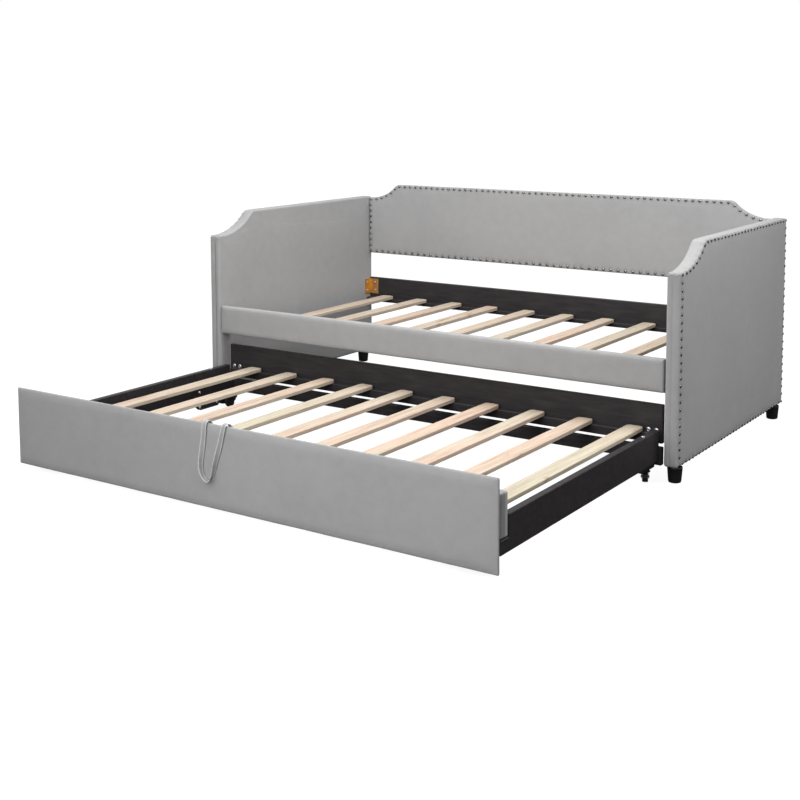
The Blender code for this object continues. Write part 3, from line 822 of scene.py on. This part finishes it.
def fabric_material():
    s = Shader("grey_upholstery_fabric", Sheen_Weight=0.22, Sheen_Roughness=0.45,
               Specular_IOR_Level=0.18)
    s.body.inputs["Sheen Tint"].default_value = (0.9, 0.9, 0.93, 1.0)
    cloud = s.noise(3.2, 3.0, 0.55)
    nap = s.noise(26.0, 3.0, 0.6)
    base = s.ramp(cloud, (0.25, grey(FABRIC_TONE * 0.955, (1.0, 0.995, 1.0))),
                  (0.75, grey(FABRIC_TONE * 1.04, (1.0, 0.997, 1.0))))
    fine = s.ramp(nap, (0.3, grey(0.94)), (0.7, grey(1.0)))
    tone = s.mix(1.0, base, fine, "MULTIPLY")
    thread = s.noise(900.0, 1.0, 0.5)
    flecks = s.ramp(thread, (0.25, grey(0.90)), (0.8, grey(1.0)))
    tone = s.mix(1.0, tone, flecks, "MULTIPLY")
    # painted shade from the panels' attribute darkens the colour to about half in dimples, seams,
    # pucker hollows and at the ends
    depth = s.node("ShaderNodeAttribute", attribute_name="painted_shade").outputs["Fac"]
    shade = s.ramp(depth, (0.0, grey(1.0)), (1.0, grey(0.52)))
    s.link(s.mix(1.0, tone, shade, "MULTIPLY"), "Base Color")
    s.link(s.spread(nap, 0.78, 0.95), "Roughness")
    weave = s.maths("ADD", s.waves(WEAVE, "X", 0.6), s.waves(WEAVE, "Z", 0.6))
    weave = s.maths("ADD", weave, s.waves(WEAVE, "Y", 0.6))
    weave = s.maths("ADD", weave, s.maths("MULTIPLY", thread, 1.2))
    s.bump(weave, 0.00022, 0.55)
    return s.material


def strap_material():
    s = Shader("grey_strap_webbing", Sheen_Weight=0.18, Specular_IOR_Level=0.2)
    tone = s.ramp(s.noise(70.0, 3.0, 0.6), (0.3, grey(0.50)), (0.7, grey(0.60)))
    shaded_groove = s.node("ShaderNodeAttribute", attribute_name="shaded_groove").outputs["Fac"]
    # painted shade in the groove between the stitched edges
    shade = s.ramp(shaded_groove, (0.2, grey(1.0)), (0.9, grey(0.62)))
    s.link(s.mix(1.0, tone, shade, "MULTIPLY"), "Base Color")
    s.link(s.spread(s.noise(90.0), 0.75, 0.95), "Roughness")
    s.bump(s.maths("ADD", s.waves(400.0, "Z", 0.3), s.noise(700.0, 1.0)), 0.0002, 0.6)
    return s.material


def nail_material():
    s = Shader("antique_nail_metal", Metallic=1.0)
    age = s.noise(170.0, 3.0, 0.6)
    s.link(s.ramp(age, (0.34, (0.035, 0.033, 0.031)), (0.66, (0.52, 0.51, 0.50))),
           "Base Color")
    s.link(s.spread(age, 0.14, 0.28), "Roughness")
    s.bump(s.noise(1500.0, 2.0), 0.0001, 0.35)
    return s.material


def black_wood_material():
    s = Shader("black_painted_wood", Specular_IOR_Level=0.28)
    grain = s.noise(9.0, 5.0, 0.62, (1.0, 9.0, 9.0), 0.4)
    s.link(s.ramp(grain, (0.3, (0.022, 0.0192, 0.0208)), (0.7, (0.040, 0.0360, 0.0385))),
           "Base Color")
    s.link(s.spread(s.noise(22.0, 4.0), 0.36, 0.56), "Roughness")
    s.bump(s.maths("ADD", grain, s.maths("MULTIPLY", s.noise(420.0, 2.0), 0.3)),
           0.0009, 0.35)
    return s.material


def pine_material():
    s = Shader("pale_slat_wood", Specular_IOR_Level=0.3)
    streak = s.noise(2.0, 6.0, 0.66, (46.0, 1.7, 46.0), 0.8)
    fibre = s.noise(2.0, 4.0, 0.7, (260.0, 7.0, 260.0), 0.2)
    wood = s.ramp(streak, (0.30, (0.30, 0.20, 0.13)), (0.45, (0.57, 0.46, 0.35)),
                  (0.64, (0.74, 0.65, 0.53)))
    lines = s.ramp(fibre, (0.32, (0.74, 0.71, 0.68)), (0.60, grey(1.03)))
    wood = s.mix(1.0, wood, lines, "MULTIPLY")
    # each slat has its own cast, from greenish to pink
    board = s.noise(1.0, 1.0, 0.5, (5.4, 0.55, 0.4))
    cast = s.ramp(board, (0.34, (0.53, 0.52, 0.39)), (0.5, (0.60, 0.50, 0.40)),
                  (0.66, (0.67, 0.46, 0.36)))
    wood = s.mix(0.45, wood, cast)
    knots = s.noise(1.0, 2.0, 0.5, (16.0, 5.0, 16.0), 1.2)
    dark = s.ramp(knots, (0.66, grey(1.0)), (0.80, (0.62, 0.48, 0.36)))
    wood = s.mix(1.0, wood, dark, "MULTIPLY")
    s.link(wood, "Base Color")
    s.link(s.spread(streak, 0.52, 0.72), "Roughness")
    s.bump(s.maths("ADD", streak, fibre), 0.0005, 0.4)
    return s.material


def plastic_material(name, tone, rough_low, rough_high, metallic=0.0):
    s = Shader(name, Metallic=metallic, Specular_IOR_Level=0.5)
    patch = s.noise(35.0, 4.0, 0.6)
    s.link(s.ramp(patch, (0.3, grey(tone * 0.8)), (0.7, grey(tone * 1.25))), "Base Color")
    s.link(s.spread(patch, rough_low, rough_high), "Roughness")
    s.bump(s.noise(800.0, 2.0), 0.0001, 0.3)
    return s.material


def yellow_zinc_material():
    s = Shader("yellow_zinc_plating", Metallic=0.85)
    film = s.noise(45.0, 3.0, 0.6, (1.0, 1.0, 0.35), 0.8)
    s.link(s.ramp(film, (0.30, (0.66, 0.33, 0.07)), (0.46, (0.86, 0.55, 0.12)),
                  (0.62, (0.62, 0.26, 0.16)), (0.74, (0.72, 0.50, 0.22))), "Base Color")
    s.link(s.spread(film, 0.28, 0.5), "Roughness")
    s.bump(s.noise(500.0, 2.0), 0.0001, 0.25)
    return s.material


def bright_zinc_material():
    s = Shader("bright_zinc_fixings", Metallic=1.0)
    film = s.noise(300.0, 3.0, 0.6)
    s.link(s.ramp(film, (0.3, (0.50, 0.50, 0.50)), (0.7, (0.80, 0.80, 0.79))), "Base Color")
    s.link(s.spread(film, 0.2, 0.38), "Roughness")
    return s.material


# ---------------------------------------------------------------- fixings
HEAD_SIDES = 18
HEAD_PROFILE = ((1.0, -0.4), (1.0, 0.25), (0.86, 0.68), (0.62, 0.95))
SOCKET_RADIUS = 0.42          # of the head's
SOCKET_DEPTH = 0.55

# Radius and height of each kind of head.
RAIL_BOLT = (0.009, 0.0038)
BLOCK_BOLT = (0.0066, 0.0032)
BRACKET_SCREW = (0.0042, 0.0022)

RAIL_BOLT_XS = (0.898, 0.927, -0.898, -0.927)
RAIL_BOLT_Z = 0.165
LEFT_BLOCK_BOLTS = ((-0.206, 0.0395), (-0.206, 0.1005), (-0.105, 0.0415))    # Y and Z
RIGHT_BLOCK_BOLTS = ((-0.065, 0.100), (-0.015, 0.100))
RAIL_TOP_BOLT_SETBACK = 0.104
STRETCHER_BOLT_X = 0.811
STRETCHER_BOLT_Z = 0.081
BRACKET_THICK = 0.003
SCREW_ASIDE = 0.006           # from the middle of the bracket's leg
SCREW_FROM_END = 0.016


def round_head(bm, centre, outward, radius, height):
    """A button head with a hexagonal socket in it."""
    side = outward.orthogonal().normalized()
    other = outward.cross(side)
    rings = round_rings(centre, outward, radius, height, HEAD_PROFILE, HEAD_SIDES)
    for depth in (0.0, height * SOCKET_DEPTH):
        ring = []
        for i in range(HEAD_SIDES):
            angle = math.tau * i / HEAD_SIDES
            flat = math.cos(math.pi / 6) / math.cos((angle % (math.pi / 3)) - math.pi / 6)
            ring.append(centre + (side * math.cos(angle) + other * math.sin(angle))
                        * (radius * SOCKET_RADIUS) * flat + outward * (height - depth))
        rings.append(ring)
    made = [[bm.verts.new(p) for p in ring] for ring in rings]
    bridge(bm, made)
    bm.faces.new(made[0])
    bm.faces.new(made[-1])


def add_fixings(name, body, places, material, radius, height):
    bm = bmesh.new()
    for centre, outward in places:
        round_head(bm, Vector(centre), Vector(outward).normalized(), radius, height)
    piece = object_from_bmesh(name, bm, smooth=False)
    piece.data.materials.append(material)
    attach(piece, body)


def rail_bolts():
    """Bolt heads at both ends of the trundle's back rail."""
    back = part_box("trundle_back_rail")[0].y
    return [((x, back, RAIL_BOLT_Z), (0, -1, 0)) for x in RAIL_BOLT_XS]


def block_bolts():
    """Smaller heads on the rear caster blocks, the side rails' tops and the stretcher."""
    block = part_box("caster_block_rear_left")[1].x
    low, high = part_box("trundle_side_rail_right")
    rail_x, rail_top = (low.x + high.x) / 2, high.z
    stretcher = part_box("trundle_stretcher")[0].y
    places = [((block, y, z), (1, 0, 0)) for y, z in LEFT_BLOCK_BOLTS]
    places += [((-block, y, z), (-1, 0, 0)) for y, z in RIGHT_BLOCK_BOLTS]
    for x in (-1, 1):
        places.append(((x * rail_x, high.y - RAIL_TOP_BOLT_SETBACK, rail_top), (0, 0, 1)))
        places.append(((x * STRETCHER_BOLT_X, stretcher, STRETCHER_BOLT_Z), (0, -1, 0)))
    return places


def bracket_screws():
    """Two screws in each leg of every corner bracket."""
    places = []
    for side, inward in (("left", 1), ("right", -1)):
        for end, out_y in (("front", 1), ("rear", -1)):
            low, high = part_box(f"corner_bracket_{end}_{side}")
            arm_x = (low.x if side == "left" else high.x) + inward * BRACKET_THICK
            rail_y = (low.y if end == "front" else high.y) + out_y * BRACKET_THICK
            middle_x = (low.x + high.x) / 2 + inward * SCREW_ASIDE
            middle_y = (low.y + high.y) / 2 + out_y * SCREW_ASIDE
            for z in (low.z + SCREW_FROM_END, high.z - SCREW_FROM_END):
                places.append(((middle_x, rail_y, z), (0, out_y, 0)))
                places.append(((arm_x, middle_y, z), (inward, 0, 0)))
    return places


# ---------------------------------------------------------------- floor and light
FLOOR_RADIUS = 60.0
FLOOR_GLOW = 0.88
SKY_LIGHT = 0.64
GROUND_LIGHT = 0.03
HORIZON_BLEND = 0.15

# Name, place, what it points at, size and power.
LIGHTS = (
    ("overhead", (-0.1, -0.4, 2.3), (0.0, -0.1, 0.3), 2.4, 43.0),
    ("right", (2.0, 0.2, 1.95), (1.0, 0.2, 0.6), 0.9, 19.0),
    ("front", (0.5, -2.9, 1.3), (0.1, -1.0, 0.2), 2.2, 41.0),
)


def add_floor():
    bm = bmesh.new()
    bmesh.ops.create_circle(bm, cap_ends=True, radius=FLOOR_RADIUS, segments=96)
    floor = object_from_bmesh("studio_floor", bm, smooth=False)
    s = Shader("studio_floor", Roughness=0.95, Specular_IOR_Level=0.0)
    tone = s.ramp(s.noise(0.8, 2.0), (0.3, grey(0.245)), (0.7, grey(0.255)))
    s.link(tone, "Base Color")
    s.link(s.ramp(s.noise(0.8, 2.0), (0.3, grey(0.995)), (0.7, grey(1.0))), "Emission Color")
    s.body.inputs["Emission Strength"].default_value = FLOOR_GLOW
    floor.data.materials.append(s.material)
    floor.visible_diffuse = False
    floor.visible_glossy = False


def add_world():
    """A white backdrop for the camera; pale light from above and a little from below."""
    world = bpy.data.worlds.new("studio")
    SCENE.world = world
    world.use_nodes = True
    nodes, links = world.node_tree.nodes, world.node_tree.links
    nodes.clear()
    seen = nodes.new("ShaderNodeBackground")
    seen.inputs["Color"].default_value = (1.0, 1.0, 1.0, 1.0)
    place = nodes.new("ShaderNodeTexCoord")
    parts = nodes.new("ShaderNodeSeparateXYZ")
    height = nodes.new("ShaderNodeMapRange")
    height.inputs["From Min"].default_value = -HORIZON_BLEND
    height.inputs["From Max"].default_value = HORIZON_BLEND
    height.inputs["To Min"].default_value = GROUND_LIGHT
    height.inputs["To Max"].default_value = SKY_LIGHT
    light = nodes.new("ShaderNodeBackground")
    light.inputs["Color"].default_value = (0.985, 0.99, 1.0, 1.0)
    path = nodes.new("ShaderNodeLightPath")
    mix = nodes.new("ShaderNodeMixShader")
    out = nodes.new("ShaderNodeOutputWorld")
    links.new(place.outputs["Generated"], parts.inputs[0])
    links.new(parts.outputs["Z"], height.inputs["Value"])
    links.new(height.outputs["Result"], light.inputs["Strength"])
    links.new(path.outputs["Is Camera Ray"], mix.inputs[0])
    links.new(light.outputs[0], mix.inputs[1])
    links.new(seen.outputs[0], mix.inputs[2])
    links.new(mix.outputs[0], out.inputs[0])


def add_area_light(name, place, target, size, power):
    data = bpy.data.lights.new(name, "AREA")
    data.shape = "SQUARE"
    data.size = size
    data.energy = power
    lamp = bpy.data.objects.new(name, data)
    lamp.location = place
    lamp.rotation_euler = (Vector(place) - Vector(target)).to_track_quat("Z", "Y").to_euler()
    SCENE.collection.objects.link(lamp)


def add_stage():
    add_floor()
    add_world()
    for light in LIGHTS:
        add_area_light(*light)
    SCENE.view_settings.view_transform = "Standard"


# ---------------------------------------------------------------- making
def make_panels():
    low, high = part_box("arm_left")
    arm_top = softened(arc_top(high.y - low.y, high.z - low.z, **ARM_TOP), ARM_TOP_SOFTENING)
    low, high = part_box("back_panel")
    panel_top = softened(arc_top(high.x - low.x, high.z - low.z, **PANEL_TOP),
                         PANEL_TOP_SOFTENING)
    forward, along = (0, 1, 0), (1, 0, 0)
    arm = dict(u_axis=forward, top=arm_top, seam=ARM_SEAM, body="daybed")
    left = Panel("arm_left_upholstery", "arm_left", t_axis=(1, 0, 0), **arm)
    right = Panel("arm_right_upholstery", "arm_right", t_axis=(-1, 0, 0), seam_depth=0.3,
                  **arm)
    back = Panel("back_panel_upholstery", "back_panel", "daybed", along, forward,
                 top=panel_top, rounding=0.007, end_inset=END_INSET, coarse=0.010)
    for panel in (left, right):
        panel.nails = arm_nails(panel)
    back.nails = back_panel_nails(back)
    rail = dict(u_axis=along, t_axis=forward, fine=0.004, band=0.020)
    rails = [
        Panel("front_rail_upholstery", "front_rail", "daybed", rounding=0.007,
              end_inset=END_INSET, crown=(0.0022, 0.022), coarse=0.009, **rail),
        Panel("fascia_upholstery", "fascia", "trundle", rounding=0.005, inset=0.0018,
              crown=(0.0040, 0.034), coarse=0.010, **rail),
        Panel("trundle_front_rail_upholstery", "trundle_front_rail", "trundle",
              rounding=0.006, inset=0.0018, coarse=0.012, **rail),
    ]
    return [left, right, back] + rails


NODE_MATERIALS = (
    ("deck_slat", "pine"), ("trundle_slat", "pine"), ("foot", "foot"),
    ("corner_bracket", "yellow_zinc"), ("caster_fork", "steel"), ("caster_wheel", "wheel"),
    ("caster_block", "black_wood"), ("back_rail", "black_wood"), ("front_ledge", "black_wood"),
    ("back_ledge", "black_wood"), ("trundle", "black_wood"),
)


def dress_nodes():
    made = {
        "pine": pine_material(),
        "black_wood": black_wood_material(),
        "foot": plastic_material("black_foot_plastic", 0.012, 0.24, 0.42),
        "wheel": plastic_material("dark_wheel_nylon", 0.018, 0.38, 0.6),
        "steel": plastic_material("black_caster_steel", 0.02, 0.3, 0.5, 0.4),
        "yellow_zinc": yellow_zinc_material(),
    }
    for name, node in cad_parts.items():
        key = next((k for start, k in NODE_MATERIALS if name.startswith(start)), None)
        if key and not node.hide_render:
            node.data.materials.clear()
            node.data.materials.append(made[key])


add_camera()
strap = add_strap()
strap.data.materials.append(strap_material())

panels = make_panels()
for panel in panels:
    panel.build()
simulate(panels)
fabric = fabric_material()
nail_metal = nail_material()
for panel in panels:
    swell(panel)
    subdivided(panel)
    detail(panel)
    panel.piece.data.materials.clear()
    panel.piece.data.materials.append(fabric)
    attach(panel.piece, panel.body)
    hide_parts(panel.node)
    if panel.nails:
        add_nails(panel, nail_metal)
dress_nodes()
zinc = bright_zinc_material()
add_fixings("back_rail_bolt_heads", "trundle", rail_bolts(), zinc, *RAIL_BOLT)
add_fixings("trundle_bolt_heads", "trundle", block_bolts(), zinc, *BLOCK_BOLT)
add_fixings("bracket_screw_heads", "daybed", bracket_screws(), zinc, *BRACKET_SCREW)
add_stage()
